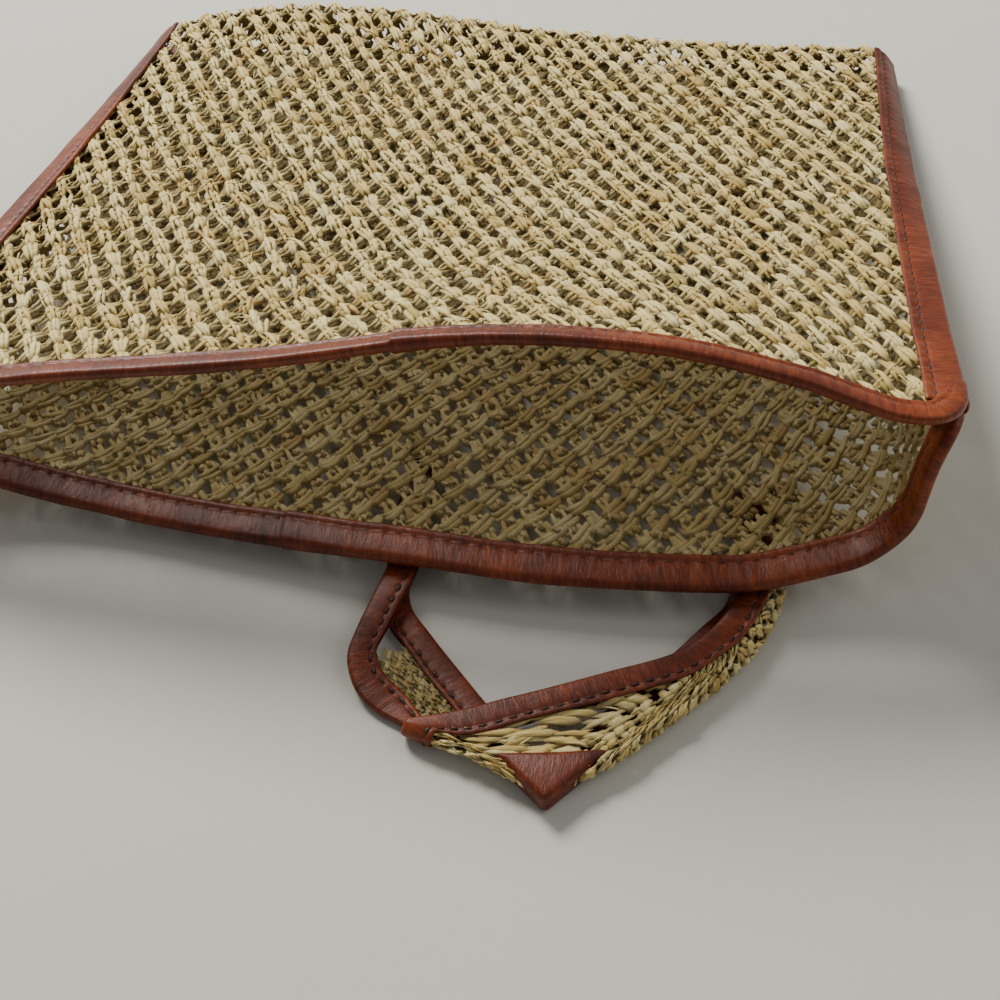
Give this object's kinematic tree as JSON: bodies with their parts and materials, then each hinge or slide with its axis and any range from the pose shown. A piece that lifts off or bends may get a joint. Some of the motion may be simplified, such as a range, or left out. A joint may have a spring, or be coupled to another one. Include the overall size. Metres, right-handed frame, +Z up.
{
  "type": "straw bag",
  "caption": "Flat woven straw pouch bag lying on its back panel, mouth open, with leather bindings along its seams, rim and short folded handle, for carrying small things.",
  "frame": {"origin": "middle of the footprint's bounding box, on the table that the bag lies on", "axes": "+X across the bag to its right seam, -Y out of the mouth towards the handle, +Z up from the back panel to the front panel"},
  "size_m": [0.3604, 0.369, 0.0918],
  "materials": {
    "straw": "natural twisted straw, matte",
    "leather": "tan brown leather, low sheen"
  },
  "bodies": {
    "root": {"straw_body": "straw", "side_binding_left": "leather", "side_binding_right": "leather", "rim_binding_front": "leather", "rim_binding_back": "leather", "handle_strip": "straw", "handle_binding_outer": "leather", "handle_binding_inner": "leather"}
  },
  "joints": []
}
